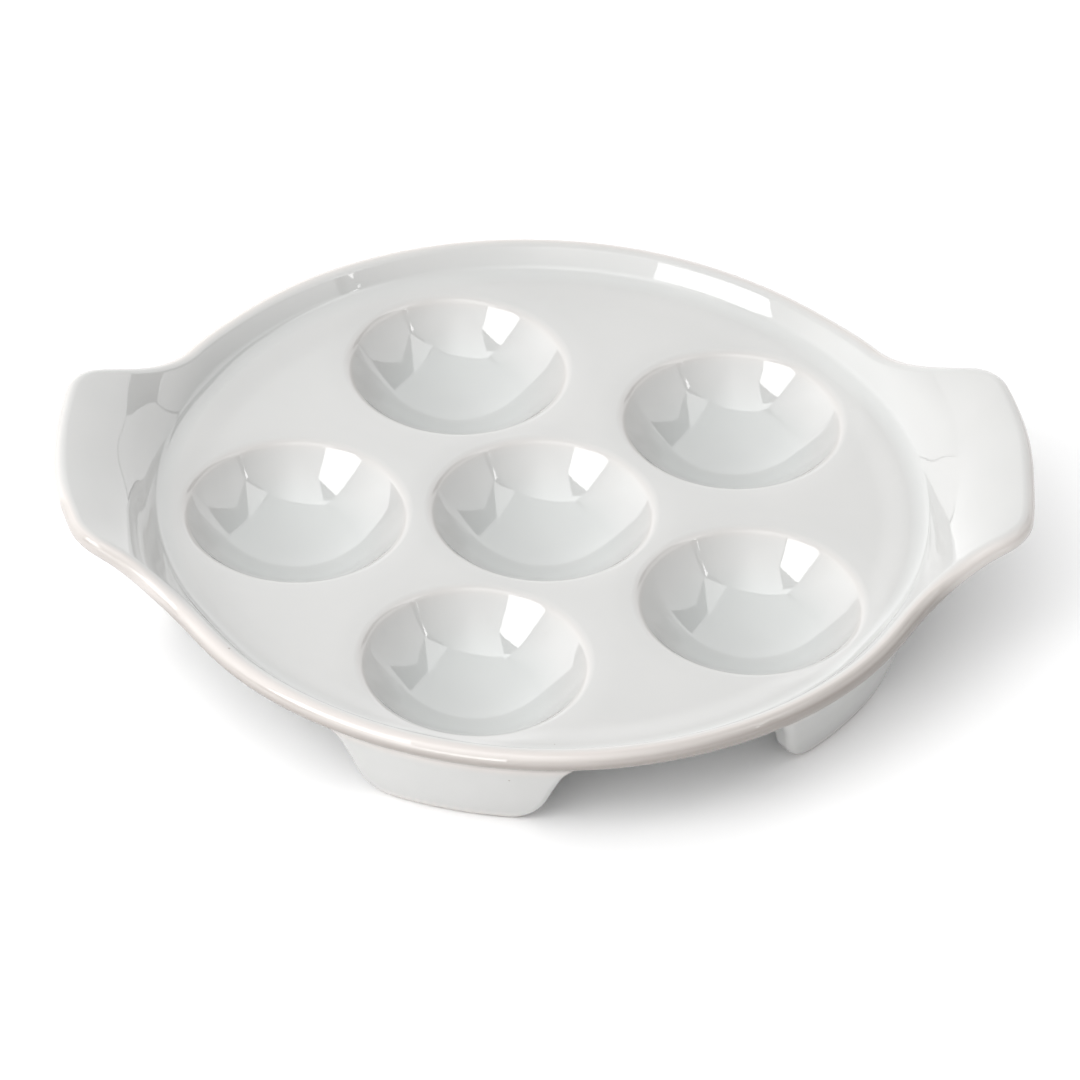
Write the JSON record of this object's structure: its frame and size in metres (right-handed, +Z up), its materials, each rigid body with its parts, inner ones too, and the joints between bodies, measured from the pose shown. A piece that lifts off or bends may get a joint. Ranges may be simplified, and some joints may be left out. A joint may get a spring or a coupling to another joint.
{
  "type": "escargot dish",
  "caption": "Shallow round white porcelain snail dish with rounded cups sunk in its deck, a low flared rim, two raised ear handles and short curved feet.",
  "frame": {"origin": "on the table under the centre of the dish, midway between the handle tips", "axes": "+X towards the right handle, along the line through both handles; +Y towards the back; +Z up"},
  "size_m": [0.184, 0.1572, 0.0307],
  "materials": {
    "white_glaze": "glossy white glaze, slightly warm where it thins on edges"
  },
  "bodies": {
    "root": {"deck": "white_glaze", "well_centre": "white_glaze", "well_left": "white_glaze", "well_back_left": "white_glaze", "well_back_right": "white_glaze", "well_front_right": "white_glaze", "well_front_left": "white_glaze", "side_wall": "white_glaze", "rim_front": "white_glaze", "rim_back": "white_glaze", "handle_left": "white_glaze", "handle_right": "white_glaze", "foot_left": "white_glaze", "foot_back_left": "white_glaze", "foot_back_right": "white_glaze", "foot_front_right": "white_glaze", "foot_front_left": "white_glaze"}
  },
  "joints": []
}
